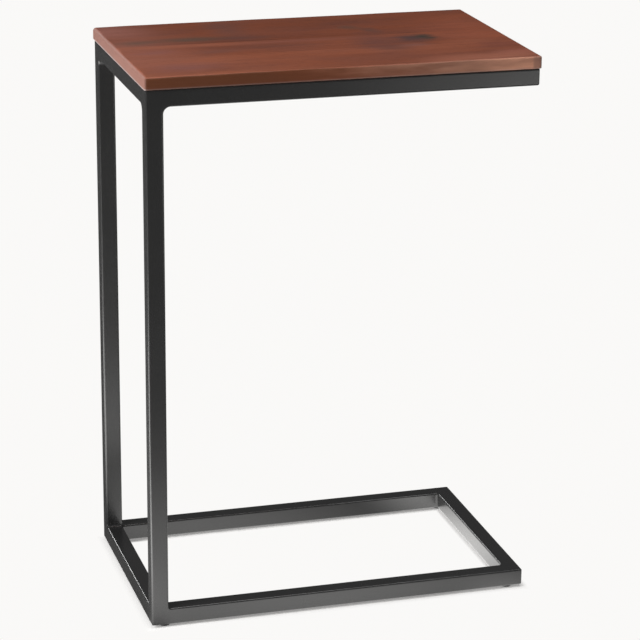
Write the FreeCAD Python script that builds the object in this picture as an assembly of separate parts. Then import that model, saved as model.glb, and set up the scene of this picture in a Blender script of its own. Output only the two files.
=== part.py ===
import FreeCAD, Part
import math
import os

# C-shaped side table. A solid wood top lies on a ring of square steel tube, two posts carry that
# ring on one side only, and a second ring on four levelling feet stands on the floor.
# Millimetres. +Z is up, +X points out of the open mouth of the C, +Y points to the back.
# The origin is on the floor, under the middle of the table.

# ---------------------------------------------------------------- driving dimensions
TABLE_HEIGHT = 622.0            # floor to the top of the wood
TOP_LENGTH = 438.0              # wood, along X
BOARD_WIDTHS = {"front": 89.0, "middle": 62.0, "back": 116.0}   # glued edge to edge, grain along X
TOP_THICKNESS = 13.5
OVERHANG = 1.5                  # wood past the tubes, all round
WOOD_ARRIS = 0.9                # sanded radius on the top's outer edges

TUBE_SIZE = 19.05               # three-quarter inch square tube
TUBE_WALL = 1.5
TUBE_RADIUS = 2.0               # outside corners of the tube

TOP_WELD_RADIUS = 8.0           # dressed fillets where the posts meet the top ring
BASE_WELD_RADIUS = 3.2          # smaller ones where the posts stand on the base ring
RING_WELD_RADIUS = 3.2          # inner corners of both rings

TAB_WIDTH = 26.0                # steel tabs under the wood, along X
TAB_REACH = 22.0                # out of the rail's inner face
TAB_THICKNESS = 3.0
TAB_CORNER = 4.0
TAB_INSET = 82.0                # tab centre from the frame's end
SLOT_FROM_RAIL = 12.0
SLOT_WIDTH = 5.0
SLOT_LENGTH = 9.0               # across the grain, so that the wood can swell
TAB_BEAD = 3.0                  # leg of the weld bead under each tab

SCREW_RADIUS = 2.0
SCREW_IN_WOOD = 9.5
SCREW_HEAD_RADIUS = 4.0
SCREW_HEAD_HEIGHT = 2.6
SCREW_RECESS = 1.3
WASHER_RADIUS = 5.0
WASHER_BORE = 2.15
WASHER_THICKNESS = 1.0

FOOT_RADIUS = 6.0
FOOT_THICKNESS = 2.2
FOOT_EDGE = 0.5                 # bevel round the sole
FOOT_INSET = 16.0               # foot centre from the frame's end, clear of the mitre
STUD_RADIUS = 2.95              # M6 thread over its crests
STUD_TOP = 18.9                 # end of the stud above the floor, foot wound right in
STUD_ROOT = 0.8                 # end of the stud inside the foot
STUD_BEVEL = 0.7
NUT_BORE = 3.0
NUT_BODY = 4.5
NUT_FLANGE_RADIUS = 5.0
NUT_FLANGE = 0.8
NUT_BULGE_RADIUS = 5.8
NUT_BULGE = 2.6
NUT_TOP = 13.0                  # end of the nut above the floor

# ---------------------------------------------------------------- derived places
TOP_DEPTH = sum(BOARD_WIDTHS.values())            # wood, along Y
FRAME_LENGTH = TOP_LENGTH - 2 * OVERHANG
FRAME_DEPTH = TOP_DEPTH - 2 * OVERHANG
BASE_BOTTOM = FOOT_THICKNESS + NUT_FLANGE
BASE_TOP = BASE_BOTTOM + TUBE_SIZE
WOOD_BOTTOM = TABLE_HEIGHT - TOP_THICKNESS
RING_BOTTOM = WOOD_BOTTOM - TUBE_SIZE
TAB_BOTTOM = WOOD_BOTTOM - TAB_THICKNESS
LEFT = -FRAME_LENGTH / 2
FRONT = -FRAME_DEPTH / 2
TAB_X = FRAME_LENGTH / 2 - TAB_INSET
RAIL_FACE = FRAME_DEPTH / 2 - TUBE_SIZE           # inner face of the front and back rails
TAB_SCREW_Y = RAIL_FACE - SLOT_FROM_RAIL
FOOT_X = FRAME_LENGTH / 2 - FOOT_INSET
FOOT_Y = FRAME_DEPTH / 2 - TUBE_SIZE / 2

X_AXIS = FreeCAD.Vector(1, 0, 0)
Y_AXIS = FreeCAD.Vector(0, 1, 0)
Z_AXIS = FreeCAD.Vector(0, 0, 1)


# ---------------------------------------------------------------- small tools
def point(x, y, z):
    return FreeCAD.Vector(x, y, z)


def box(low, high):
    """A box from its lowest corner to its highest."""
    size = [b - a for a, b in zip(low, high)]
    return Part.makeBox(size[0], size[1], size[2], point(*low))


def cylinder(radius, x, y, low, high):
    return Part.makeCylinder(radius, high - low, point(x, y, low), Z_AXIS)


def prism(corners, z_low, z_high):
    """An upright prism over a polygon in plan."""
    outline = Part.makePolygon([point(x, y, z_low) for x, y in corners + corners[:1]])
    return Part.Face(outline).extrude(point(0, 0, z_high - z_low))


def edges_along(shape, axis):
    """The straight edges of a shape that run along one axis."""
    found = []
    for edge in shape.Edges:
        run = edge.Vertexes[-1].Point - edge.Vertexes[0].Point
        if run.Length > 1e-6 and run.cross(axis).Length < 1e-6:
            found.append(edge)
    return found


def rounded_box(low, high, axis, radius):
    """A box whose four edges along one axis are rounded."""
    block = box(low, high)
    return block.makeFillet(radius, edges_along(block, axis))


def revolve(profile, x, y):
    """Turns a closed outline of (radius, height) points about an upright line at x, y."""
    outline = Part.makePolygon([point(x + r, y, z) for r, z in profile + profile[:1]])
    return Part.Face(outline).revolve(point(x, y, 0), Z_AXIS, 360)


def mirror(shape, normal, at=FreeCAD.Vector(0, 0, 0)):
    return shape.mirror(at, normal)


def save(name, shapes):
    """Writes one node. A list of solids becomes a group in one file."""
    shapes = shapes if isinstance(shapes, list) else [shapes]
    solids = [solid for shape in shapes for solid in shape.Solids]
    for solid in solids:
        if not solid.isValid():
            raise ValueError("bad solid in " + name)
    result = solids[0] if len(solids) == 1 else Part.makeCompound(solids)
    result.exportStep("parts/" + name + ".step")
    print(name, len(solids), "solid(s)", round(result.Volume, 1), "mm3")


# ---------------------------------------------------------------- square tube
def tube(low, high, axis, hollow=True):
    """A length of square tube that fills the box low..high along one axis."""
    outer = rounded_box(low, high, axis, TUBE_RADIUS)
    if not hollow:
        return outer
    wall = point(TUBE_WALL, TUBE_WALL, TUBE_WALL) - axis * TUBE_WALL
    inner = rounded_box(point(*low) + wall, point(*high) - wall, axis, TUBE_RADIUS - TUBE_WALL)
    return outer.cut(inner)


def ring_rails(z_low, hollow=True):
    """The four rails of a ring, mitred at 45 degrees, with the ring's outer corners dressed round."""
    x_out, y_out = FRAME_LENGTH / 2, FRAME_DEPTH / 2
    x_in, y_in = x_out - TUBE_SIZE, y_out - TUBE_SIZE
    z_high = z_low + TUBE_SIZE
    outline = rounded_box((-x_out, -y_out, z_low), (x_out, y_out, z_high), Z_AXIS, TUBE_RADIUS)
    sides = {
        "front": ((-x_out, -y_out), (x_out, -y_in), X_AXIS,
                  [(-x_out, -y_out), (x_out, -y_out), (x_in, -y_in), (-x_in, -y_in)]),
        "back": ((-x_out, y_in), (x_out, y_out), X_AXIS,
                 [(-x_in, y_in), (x_in, y_in), (x_out, y_out), (-x_out, y_out)]),
        "left": ((-x_out, -y_out), (-x_in, y_out), Y_AXIS,
                 [(-x_out, -y_out), (-x_in, -y_in), (-x_in, y_in), (-x_out, y_out)]),
        "right": ((x_in, -y_out), (x_out, y_out), Y_AXIS,
                  [(x_in, -y_in), (x_out, -y_out), (x_out, y_out), (x_in, y_in)]),
    }
    rails = {}
    for side, (low, high, axis, corners) in sides.items():
        length = tube((low[0], low[1], z_low), (high[0], high[1], z_high), axis, hollow)
        rails[side] = length.common(prism(corners, z_low, z_high)).common(outline)
    return rails


def front_post(hollow=True):
    low = (LEFT, FRONT, BASE_TOP)
    high = (LEFT + TUBE_SIZE, FRONT + TUBE_SIZE, RING_BOTTOM)
    return tube(low, high, Z_AXIS, hollow)


# ---------------------------------------------------------------- welds, ground smooth
def dressed_corner(radius):
    """Two lengths of tube at a right angle with a dressed inner corner, as one solid.

    It lies in the XY plane with its outer corner at the origin. Its legs run along +X and +Y,
    its thickness is 0..TUBE_SIZE in Z, and the concave arc of the given radius joins the legs.
    """
    size, run = TUBE_SIZE, TUBE_SIZE + radius + 3 * TUBE_RADIUS
    bend, centre = size + radius, size + radius
    middle = centre - radius * math.sqrt(0.5)
    outline = [
        Part.LineSegment(point(0, 0, 0), point(run, 0, 0)),
        Part.LineSegment(point(run, 0, 0), point(run, size, 0)),
        Part.LineSegment(point(run, size, 0), point(bend, size, 0)),
        Part.Arc(point(bend, size, 0), point(middle, middle, 0), point(size, bend, 0)),
        Part.LineSegment(point(size, bend, 0), point(size, run, 0)),
        Part.LineSegment(point(size, run, 0), point(0, run, 0)),
        Part.LineSegment(point(0, run, 0), point(0, 0, 0)),
    ]
    corner = Part.Face(Part.Wire([part.toShape() for part in outline])).extrude(point(0, 0, size))
    ends = {round(run, 6)}
    rounded = []
    for edge in corner.Edges:
        xs = {round(vertex.Point.x, 6) for vertex in edge.Vertexes}
        ys = {round(vertex.Point.y, 6) for vertex in edge.Vertexes}
        in_plane = abs(edge.Vertexes[0].Point.z - edge.Vertexes[-1].Point.z) < 1e-6
        if in_plane and xs != ends and ys != ends:
            rounded.append(edge)
    return corner.makeFillet(TUBE_RADIUS, rounded)


def post_weld(radius):
    """The weld round a post's end, for the front post under the top ring.

    It fills the rounded arrises that the post's end meets, flush with the tubes' outer faces, and
    adds a fillet on each of the two inner sides.
    """
    plan = dressed_corner(radius)
    upright = FreeCAD.Rotation(X_AXIS, -90)                     # its +Y leg now runs down
    in_front = plan.copy()
    in_front.Placement = FreeCAD.Placement(point(LEFT, FRONT, RING_BOTTOM + TUBE_SIZE), upright)
    turned = FreeCAD.Rotation(Z_AXIS, 90).multiply(upright)     # its +X leg now runs to the back
    at_side = plan.copy()
    at_side.Placement = FreeCAD.Placement(
        point(LEFT + TUBE_SIZE, FRONT, RING_BOTTOM + TUBE_SIZE), turned)
    reach = TUBE_SIZE + radius
    joint = rounded_box((LEFT, FRONT, RING_BOTTOM - radius),
                        (LEFT + 2 * reach, FRONT + 2 * reach, RING_BOTTOM + TUBE_RADIUS),
                        Z_AXIS, TUBE_RADIUS)
    weld = in_front.fuse(at_side).common(joint)
    rails = ring_rails(RING_BOTTOM, hollow=False)
    for tubes in (rails["front"], rails["left"], front_post(hollow=False)):
        weld = weld.cut(tubes)
    return weld


def ring_weld(z_low):
    """The upright fillet in the front left inner corner of a ring."""
    corner = dressed_corner(RING_WELD_RADIUS)
    corner.translate(point(LEFT, FRONT, z_low))
    inner = TUBE_SIZE - TUBE_RADIUS
    reach = TUBE_SIZE + RING_WELD_RADIUS
    around = box((LEFT + inner, FRONT + inner, z_low),
                 (LEFT + reach, FRONT + reach, z_low + TUBE_SIZE))
    weld = corner.common(around)
    for rail in ring_rails(z_low, hollow=False).values():
        weld = weld.cut(rail)
    return weld


def solid_parts(shape, smallest=0.5):
    """The solids of a cut shape, without the crumbs that lie where round faces run out."""
    return [solid for solid in shape.Solids if solid.Volume > smallest]


# ---------------------------------------------------------------- wood top
def top_boards():
    """Boards glued edge to edge, sanded as one slab, with a pilot hole for each screw."""
    x_out, y_out = TOP_LENGTH / 2, TOP_DEPTH / 2
    slab = box((-x_out, -y_out, WOOD_BOTTOM), (x_out, y_out, TABLE_HEIGHT))
    slab = slab.makeFillet(WOOD_ARRIS, slab.Edges)
    for x, y in screw_places():
        slab = slab.cut(cylinder(SCREW_RADIUS, x, y, WOOD_BOTTOM, WOOD_BOTTOM + SCREW_IN_WOOD))
    boards = {}
    y_low = -y_out
    for name, width in BOARD_WIDTHS.items():
        strip = box((-x_out, y_low, WOOD_BOTTOM), (x_out, y_low + width, TABLE_HEIGHT))
        boards[name] = slab.common(strip)
        y_low += width
    return boards


# ---------------------------------------------------------------- fixings of the top
def screw_places():
    return [(x, y) for y in (-TAB_SCREW_Y, TAB_SCREW_Y) for x in (-TAB_X, TAB_X)]


def front_left_tab():
    """A flat tab, flush with the ring's top, slotted across the grain."""
    low = (-TAB_X - TAB_WIDTH / 2, -RAIL_FACE, TAB_BOTTOM)
    high = (-TAB_X + TAB_WIDTH / 2, -RAIL_FACE + TAB_REACH, WOOD_BOTTOM)
    plate = box(low, high)
    free_corners = [edge for edge in edges_along(plate, Z_AXIS) if edge.Vertexes[0].Point.y > low[1] + 1]
    plate = plate.makeFillet(TAB_CORNER, free_corners)
    half, travel = SLOT_WIDTH / 2, (SLOT_LENGTH - SLOT_WIDTH) / 2
    slot = rounded_box((-TAB_X - half, -TAB_SCREW_Y - travel - half, TAB_BOTTOM),
                       (-TAB_X + half, -TAB_SCREW_Y + travel + half, WOOD_BOTTOM),
                       Z_AXIS, half * 0.999)
    return plate.cut(slot)


def front_left_tab_bead():
    """The weld bead under a tab, against the rail's inner face."""
    y, z = -RAIL_FACE, TAB_BOTTOM
    section = [point(0, y, z), point(0, y, z - TAB_BEAD), point(0, y + TAB_BEAD, z)]
    bead = Part.Face(Part.makePolygon(section + section[:1])).extrude(point(TAB_WIDTH - 2 * TAB_CORNER, 0, 0))
    bead.translate(point(-TAB_X - TAB_WIDTH / 2 + TAB_CORNER, 0, 0))
    return bead


def tab_screw(x, y):
    """A pan head screw with a cross recess, up through washer and tab into the wood."""
    seat = TAB_BOTTOM - WASHER_THICKNESS
    crown = seat - SCREW_HEAD_HEIGHT
    flank = SCREW_HEAD_HEIGHT * 0.4
    tip = WOOD_BOTTOM + SCREW_IN_WOOD
    screw = revolve([(0, crown), (SCREW_HEAD_RADIUS * 0.65, crown), (SCREW_HEAD_RADIUS, crown + flank),
                     (SCREW_HEAD_RADIUS, seat), (SCREW_RADIUS, seat), (SCREW_RADIUS, tip - SCREW_RADIUS),
                     (0, tip)], x, y)
    arm, half = SCREW_HEAD_RADIUS * 0.5, 0.45
    for reach_x, reach_y in ((arm, half), (half, arm)):
        screw = screw.cut(box((x - reach_x, y - reach_y, crown), (x + reach_x, y + reach_y, crown + SCREW_RECESS)))
    return screw


def tab_washer(x, y):
    low = TAB_BOTTOM - WASHER_THICKNESS
    return cylinder(WASHER_RADIUS, x, y, low, TAB_BOTTOM).cut(cylinder(WASHER_BORE, x, y, low, TAB_BOTTOM))


# ---------------------------------------------------------------- levelling feet
def foot_places():
    ends = (("left", -FOOT_X), ("right", FOOT_X))
    sides = (("front", -FOOT_Y), ("back", FOOT_Y))
    return [(side + "_" + end, x, y) for side, y in sides for end, x in ends]


def rivet_nut(x, y):
    """A blind rivet nut, set in the rail's lower wall from outside."""
    bulge_low = BASE_BOTTOM + TUBE_WALL
    return revolve([(NUT_BORE, BASE_BOTTOM - NUT_FLANGE), (NUT_FLANGE_RADIUS, BASE_BOTTOM - NUT_FLANGE),
                    (NUT_FLANGE_RADIUS, BASE_BOTTOM), (NUT_BODY, BASE_BOTTOM), (NUT_BODY, bulge_low),
                    (NUT_BULGE_RADIUS, bulge_low + NUT_BULGE * 0.3),
                    (NUT_BULGE_RADIUS, bulge_low + NUT_BULGE * 0.7), (NUT_BODY, bulge_low + NUT_BULGE),
                    (NUT_BODY, NUT_TOP), (NUT_BORE, NUT_TOP)], x, y)


def foot_pad(x, y):
    """The moulded sole, closed underneath, round the end of its stud."""
    return revolve([(0, 0), (FOOT_RADIUS - FOOT_EDGE, 0), (FOOT_RADIUS, FOOT_EDGE),
                    (FOOT_RADIUS, FOOT_THICKNESS - FOOT_EDGE / 2),
                    (FOOT_RADIUS - FOOT_EDGE / 2, FOOT_THICKNESS), (STUD_RADIUS, FOOT_THICKNESS),
                    (STUD_RADIUS, STUD_ROOT), (0, STUD_ROOT)], x, y)


def foot_stud(x, y):
    return revolve([(0, STUD_ROOT), (STUD_RADIUS, STUD_ROOT), (STUD_RADIUS, STUD_TOP - STUD_BEVEL),
                    (STUD_RADIUS - STUD_BEVEL, STUD_TOP), (0, STUD_TOP)], x, y)


# ---------------------------------------------------------------- the table
os.makedirs("parts", exist_ok=True)

for name, board in top_boards().items():
    save("top_board_" + name, board)

for side, rail in ring_rails(RING_BOTTOM).items():
    save("top_ring_" + side + "_rail", rail)

for side, rail in ring_rails(BASE_BOTTOM).items():
    for _, x, y in foot_places():
        rail = rail.cut(cylinder(NUT_BODY, x, y, BASE_BOTTOM, BASE_BOTTOM + TUBE_WALL))
    save("base_ring_" + side + "_rail", rail)

save("post_front", front_post())
save("post_back", mirror(front_post(), Y_AXIS))

mid_height = point(0, 0, (RING_BOTTOM + BASE_TOP) / 2)
top_weld = solid_parts(post_weld(TOP_WELD_RADIUS))[0]
base_weld = mirror(solid_parts(post_weld(BASE_WELD_RADIUS))[0], Z_AXIS, mid_height)
save("post_welds_top", [top_weld, mirror(top_weld, Y_AXIS)])
save("post_welds_base", [base_weld, mirror(base_weld, Y_AXIS)])

for ring, z_low, weld_beside in (("top", RING_BOTTOM, top_weld), ("base", BASE_BOTTOM, base_weld)):
    left = solid_parts(ring_weld(z_low).cut(weld_beside))[0]
    right = mirror(solid_parts(ring_weld(z_low))[0], X_AXIS)
    save(ring + "_ring_welds", [left, mirror(left, Y_AXIS), right, mirror(right, Y_AXIS)])

tab, bead = front_left_tab(), front_left_tab_bead()
for side, turn_y in (("front", False), ("back", True)):
    for end, turn_x in (("left", False), ("right", True)):
        plate = mirror(tab, Y_AXIS) if turn_y else tab
        save("top_tab_" + side + "_" + end, mirror(plate, X_AXIS) if turn_x else plate)
beads = [bead, mirror(bead, X_AXIS)]
save("top_tab_welds", beads + [mirror(one, Y_AXIS) for one in beads])
save("top_screws", [tab_screw(x, y) for x, y in screw_places()])
save("top_screw_washers", [tab_washer(x, y) for x, y in screw_places()])

save("foot_rivet_nuts", [rivet_nut(x, y) for _, x, y in foot_places()])
for place, x, y in foot_places():
    save("foot_pad_" + place, foot_pad(x, y))
    save("foot_stud_" + place, foot_stud(x, y))
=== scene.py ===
import math

import bpy
import numpy as np
from mathutils import Matrix, Vector


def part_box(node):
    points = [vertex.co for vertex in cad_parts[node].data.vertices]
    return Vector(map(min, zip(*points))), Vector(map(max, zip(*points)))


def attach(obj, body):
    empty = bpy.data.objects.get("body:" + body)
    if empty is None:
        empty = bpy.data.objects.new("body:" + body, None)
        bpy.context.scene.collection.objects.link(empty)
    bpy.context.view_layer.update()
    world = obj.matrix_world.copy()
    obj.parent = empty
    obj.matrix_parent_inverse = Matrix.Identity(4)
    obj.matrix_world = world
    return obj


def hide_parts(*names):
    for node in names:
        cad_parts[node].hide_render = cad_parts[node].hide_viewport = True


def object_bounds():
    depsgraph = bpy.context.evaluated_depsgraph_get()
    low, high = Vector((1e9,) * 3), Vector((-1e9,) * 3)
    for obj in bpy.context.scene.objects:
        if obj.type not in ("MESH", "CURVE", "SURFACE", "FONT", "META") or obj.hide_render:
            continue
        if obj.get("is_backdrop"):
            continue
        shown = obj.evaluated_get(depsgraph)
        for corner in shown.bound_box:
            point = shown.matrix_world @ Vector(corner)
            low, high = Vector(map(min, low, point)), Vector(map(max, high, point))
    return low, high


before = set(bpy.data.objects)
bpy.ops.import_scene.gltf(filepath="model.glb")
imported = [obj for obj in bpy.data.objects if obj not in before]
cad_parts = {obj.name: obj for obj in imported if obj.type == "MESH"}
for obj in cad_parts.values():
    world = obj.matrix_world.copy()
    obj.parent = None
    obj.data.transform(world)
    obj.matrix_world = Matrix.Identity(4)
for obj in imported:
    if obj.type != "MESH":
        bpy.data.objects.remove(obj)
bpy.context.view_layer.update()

# ---------------------------------------------------------------- rails of the two rings
# Each ring is four lengths of three-quarter inch square steel tube, mitred and welded. The tube's arrises
# are slightly round, and the ring's outer corners are ground to match. The whole welded frame is then
# sprayed with black powder and baked: a thin satin coat with a very fine orange peel.
MM = 0.001
ring_low, ring_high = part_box("top_ring_left_rail")
base_low, base_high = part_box("base_ring_left_rail")
TUBE = base_high.z - base_low.z
TUBE_ARRIS = 2.0 * MM
TUBE_WALL = 1.5 * MM
BORE_ARRIS = 0.5 * MM
FLAT_ROW = 0.8 * MM  # from an arris to the first row on the flat
CORNER_LEFT = 0.3 * MM  # plan radius left where the arris runs out
HALF_LENGTH = -base_low.x
HALF_DEPTH = -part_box("base_ring_front_rail")[0].y
ARRIS_STEPS = 7
CORNER_STEPS = 8
COAT_BLACK = (0.022, 0.022, 0.022, 1.0)


def skin_of(loops, ring=False, hub=False):
    """A closed skin over a stack of closed loops, as (points, quads, triangles).

    Quads join each point to the next one in its loop and to the same one in the next loop. A ring joins its
    last loop to its first. Otherwise a fan fills both ends, from the loop's first point or from a hub at
    its middle.
    """
    rows, count = loops.shape[:2]
    points = loops.reshape(-1, 3)
    index = np.arange(rows * count).reshape(rows, count)
    if ring:
        index = np.vstack([index, index[:1]])
    beside = np.roll(index, -1, axis=1)
    quads = np.stack([index[:-1], beside[:-1], beside[1:], index[1:]], axis=-1).reshape(-1, 4)
    triangles = np.empty((0, 3), int)
    for end, flip in () if ring else ((index[0], True), (index[-1], False)):
        if hub:
            fan = np.stack([np.full(count, len(points)), end, np.roll(end, -1)], axis=-1)
            points = np.vstack([points, points[end].mean(axis=0)])
        else:
            fan = np.stack([np.full(count - 2, end[0]), end[1:-1], end[2:]], axis=-1)
        triangles = np.vstack([triangles, fan[:, ::-1] if flip else fan])
    return points, quads, triangles


def outwards(shell):
    """A closed shell with its faces outwards: all are flipped where its volume comes out negative."""
    points, quads, triangles = shell
    corners = np.vstack([quads[:, [0, 1, 2]], quads[:, [0, 2, 3]], triangles])
    a, b, c = (points[corners[:, i]] for i in range(3))
    if np.einsum("ij,ij->i", a, np.cross(b, c)).sum() < 0:
        return points, quads[:, ::-1], triangles[:, ::-1]
    return shell


def mirrored(shell, axis, about=0.0):
    """A shell's mirror image in the plane across one axis."""
    points = shell[0].copy()
    points[:, axis] = 2 * about - points[:, axis]
    return points, shell[1], shell[2]


def turned(points, quarters):
    """Points turned about the table's upright axis by quarter turns, anticlockwise from above."""
    x, y, z = np.moveaxis(points, -1, 0)
    for _ in range(quarters):
        x, y = -y, x
    return np.stack([x, y, z], axis=-1)


def add_piece(name, shells, material, nodes, body="frame", crease=38.0):
    """Puts closed shells into one mesh in Blender, in place of the CAD nodes that they stand for.

    Faces are smooth, apart from edges that turn by more than the crease, in degrees.
    """
    points, faces, offset = [], [], 0
    for shell in shells:
        spots, quads, triangles = outwards(shell)
        points.append(spots)
        faces += (quads + offset).tolist() + (triangles + offset).tolist()
        offset += len(spots)
    mesh = bpy.data.meshes.new(name)
    mesh.from_pydata(np.vstack(points).tolist(), [], faces)
    mesh.polygons.foreach_set("use_smooth", np.ones(len(faces), bool))
    mesh.set_sharp_from_angle(angle=math.radians(crease))
    mesh.materials.append(material)
    piece = bpy.data.objects.new(name, mesh)
    bpy.context.scene.collection.objects.link(piece)
    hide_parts(*nodes)
    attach(piece, body)
    return piece


def rounded_outline(low, high, radii, inset=0.0, steps=8, margin=0.7 * MM):
    """A rectangle with rounded corners, once round anticlockwise from its low corner.

    An inset draws every side in and takes the same amount off each corner's radius; below 0 it draws them
    out. Each corner has one more point on the straight before and after it, so that the flats shade flat.
    """
    low, high = np.array(low) + inset, np.array(high) - inset
    angle = np.linspace(0, math.pi / 2, steps + 1)
    points = []
    spots = ((low[0], low[1]), (high[0], low[1]), (high[0], high[1]), (low[0], high[1]))
    for quarter, (spot, radius) in enumerate(zip(spots, radii)):
        radius = max(radius - inset, 0.05 * MM)
        along = np.concatenate([[0.0], radius * (1 - np.cos(angle)), [radius + margin]])
        beside = np.concatenate([[radius + margin], radius * (1 - np.sin(angle)), [0.0]])
        for _ in range(quarter):
            along, beside = -beside, along
        points.append(np.stack([spot[0] + along, spot[1] + beside], axis=-1))
    return np.concatenate(points)


def tube_section(side, radius):
    """The outside or the bore of square tube, about its middle."""
    half = side / 2
    return rounded_outline((-half, -half), (half, half), [radius] * 4, steps=ARRIS_STEPS, margin=FLAT_ROW)


OUTSIDE = tube_section(TUBE, TUBE_ARRIS)
BORE = tube_section(TUBE - 2 * TUBE_WALL, BORE_ARRIS)


def corner_radius(inset):
    """A ring's outer corner radius in plan, at a distance in from its face: it shrinks over the arris."""
    share = np.clip(1 - inset / TUBE_ARRIS, 0, 1)
    return CORNER_LEFT + (TUBE_ARRIS - CORNER_LEFT) * share


def rail_column(section, end, angle, half_along, half_across, low):
    """The points of one section of a front rail, at one end and at an angle round the ring's corner.

    Each point follows its own quarter circle round the corner. At 45 degrees all of them lie on the mitre,
    and at 0 degrees each is where its straight run starts.
    """
    inset, height = TUBE / 2 - section[:, 0], TUBE / 2 + section[:, 1]
    radius = corner_radius(inset)
    along = end * (half_along - inset - radius + radius * math.sin(angle))
    across = -half_across + inset + radius - radius * math.cos(angle)
    return np.stack([along, across, low + height], axis=-1)


def ring_rail(low, side):
    """A hollow mitred rail: outside from the left mitre to the right one, and back through its bore."""
    long_way = side in ("front", "back")
    reach = (HALF_LENGTH, HALF_DEPTH) if long_way else (HALF_DEPTH, HALF_LENGTH)
    angles = np.linspace(0, math.pi / 4, CORNER_STEPS + 1)
    columns = [rail_column(OUTSIDE, -1, angle, *reach, low) for angle in angles[::-1]]
    columns += [rail_column(OUTSIDE, 1, angle, *reach, low) for angle in angles]
    columns += [rail_column(BORE, end, math.pi / 4, *reach, low) for end in (1, -1)]
    quarters = ("front", "right", "back", "left").index(side)
    return skin_of(turned(np.stack(columns), quarters), ring=True)


def fill_inputs(tree, inputs, values):
    """Sets each named input to its value, or links it where the value is another node's socket."""
    for name, value in values.items():
        if isinstance(value, bpy.types.NodeSocket):
            tree.links.new(value, inputs[name])
        else:
            inputs[name].default_value = value


def shader_node(tree, kind, values=None, **settings):
    """Adds one shader node: its own settings first, and then its inputs."""
    made = tree.nodes.new("ShaderNode" + kind)
    for name, value in settings.items():
        setattr(made, name, value)
    fill_inputs(tree, made.inputs, values or {})
    return made


def math_node(tree, operation, *values, clamp=False):
    """One sum on numbers or sockets, as the socket of its result."""
    made = shader_node(tree, "Math", dict(enumerate(values)), operation=operation, use_clamp=clamp)
    return made.outputs[0]


def times(tree, first, second):
    """The product of two numbers or sockets."""
    return math_node(tree, "MULTIPLY", first, second)


def plus(tree, first, second):
    """The sum of two numbers or sockets."""
    return math_node(tree, "ADD", first, second)


def minus(tree, first, second):
    """The first number or socket less the second."""
    return math_node(tree, "SUBTRACT", first, second)


def vector_math(tree, operation, *values):
    """One sum on vectors, as the socket of its result."""
    made = shader_node(tree, "VectorMath", dict(enumerate(values)), operation=operation)
    return made.outputs["Value" if operation == "LENGTH" else "Vector"]


def shaded(tree, colour, brightness):
    """A colour made lighter or darker by a factor."""
    made = shader_node(tree, "VectorMath", {0: colour, "Scale": brightness}, operation="SCALE")
    return made.outputs["Vector"]


def noise(tree, vector, scale, detail=2.0, roughness=0.5, seed=0.0):
    """Soft noise around 0.5, with so many bumps to the metre. The seed picks another stretch of it."""
    made = shader_node(tree, "TexNoise", {"Vector": vector, "W": seed, "Scale": scale, "Detail": detail,
                                          "Roughness": roughness}, noise_dimensions="4D")
    return made.outputs["Fac"]


def fit_range(tree, value, low, high, to_low=0.0, to_high=1.0, smooth=True):
    """A value between low and high, carried over to the span to_low..to_high."""
    made = shader_node(tree, "MapRange", {"Value": value, "From Min": low, "From Max": high,
                                          "To Min": to_low, "To Max": to_high},
                       interpolation_type="SMOOTHSTEP" if smooth else "LINEAR")
    return made.outputs["Result"]


def blend_colours(tree, share, first, second, mode="MIX"):
    """First where the share is 0, second where it is 1."""
    made = shader_node(tree, "Mix", data_type="RGBA", blend_type=mode)
    for name, value in (("Factor_Float", share), ("A_Color", first), ("B_Color", second)):
        socket = next(s for s in made.inputs if s.identifier == name)
        if isinstance(value, bpy.types.NodeSocket):
            tree.links.new(value, socket)
        elif name == "Factor_Float":
            socket.default_value = value
        else:
            socket.default_value = (*value, 1.0)
    return next(s for s in made.outputs if s.identifier == "Result_Color")


def new_group(name, inputs, outputs):
    """An empty node group with named sockets: inputs are (kind, name, value), outputs (kind, name)."""
    tree = bpy.data.node_groups.new(name, "ShaderNodeTree")
    for kind, label, value in inputs:
        socket = tree.interface.new_socket(label, in_out="INPUT", socket_type="NodeSocket" + kind)
        if value is not None:
            socket.default_value = value
    for kind, label in outputs:
        tree.interface.new_socket(label, in_out="OUTPUT", socket_type="NodeSocket" + kind)
    return tree, tree.nodes.new("NodeGroupInput").outputs, tree.nodes.new("NodeGroupOutput").inputs


def new_material(name):
    """An empty material with its shader: the tree, the shader's inputs and the object coordinates."""
    material = bpy.data.materials.new(name)
    material.use_nodes = True
    tree = material.node_tree
    tree.nodes.clear()
    shader = tree.nodes.new("ShaderNodeBsdfPrincipled")
    output = tree.nodes.new("ShaderNodeOutputMaterial")
    tree.links.new(shader.outputs[0], output.inputs["Surface"])
    place = tree.nodes.new("ShaderNodeTexCoord").outputs["Object"]
    return material, tree, shader.inputs, place


def raised(tree, height, distance):
    """A Bump node's normal for a height of 0..1 that stands for the given distance in metres."""
    return shader_node(tree, "Bump", {"Height": height, "Distance": distance}).outputs[0]


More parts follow.
